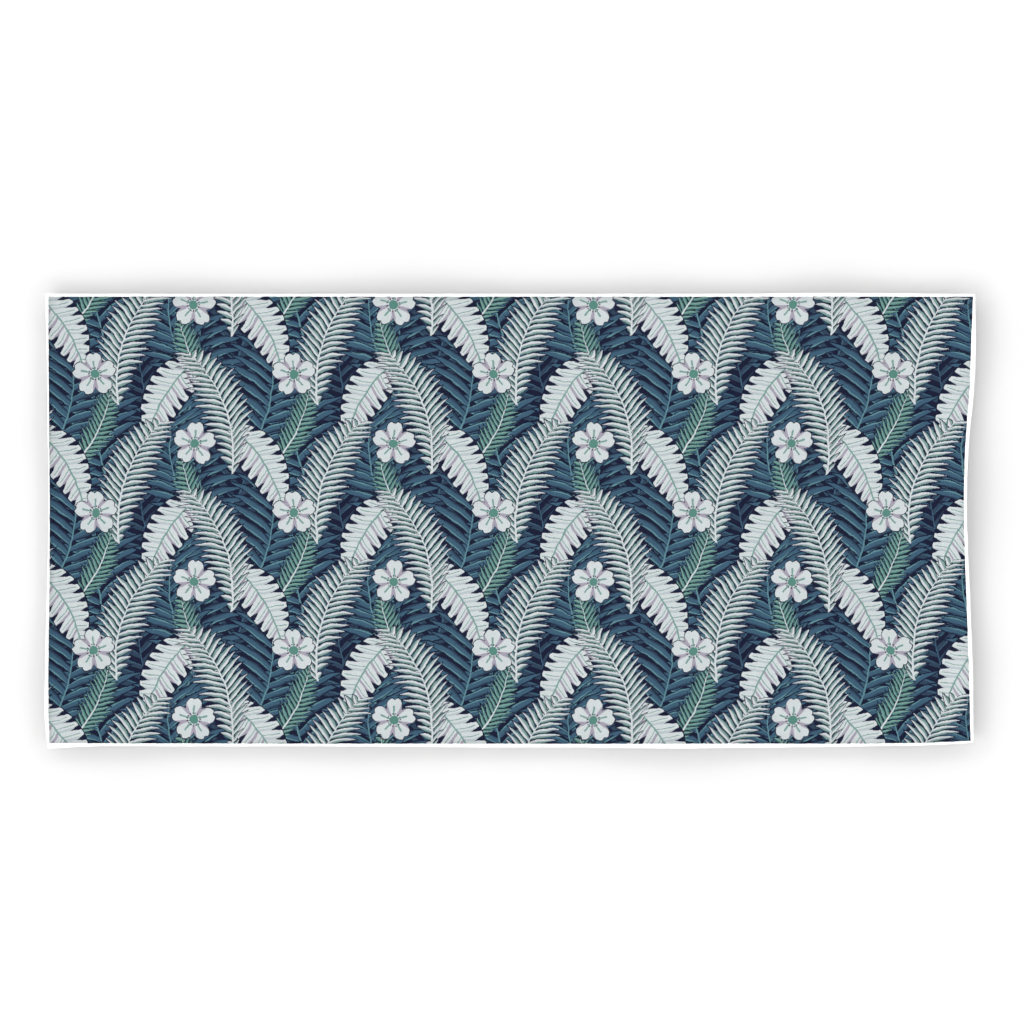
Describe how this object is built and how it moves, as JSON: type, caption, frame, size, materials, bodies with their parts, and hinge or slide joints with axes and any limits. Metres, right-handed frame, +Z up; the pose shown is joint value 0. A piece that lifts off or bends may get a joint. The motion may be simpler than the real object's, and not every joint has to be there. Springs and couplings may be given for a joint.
{
  "type": "beach towel",
  "caption": "Rectangular towelling beach towel with a narrow turned hem, lying face up and flat with softly lifted edges.",
  "frame": {"origin": "on the surface the towel lies on, at the middle of its outline", "axes": "+X along the towel's length, +Y across its width, +Z up out of its printed face"},
  "size_m": [1.5283, 0.7472, 0.0175],
  "materials": {
    "printed_towelling": "cut-pile cotton towelling with an all-over leaf print on its face, white loops on its back"
  },
  "bodies": {
    "root": {"towel": "printed_towelling"}
  },
  "joints": []
}
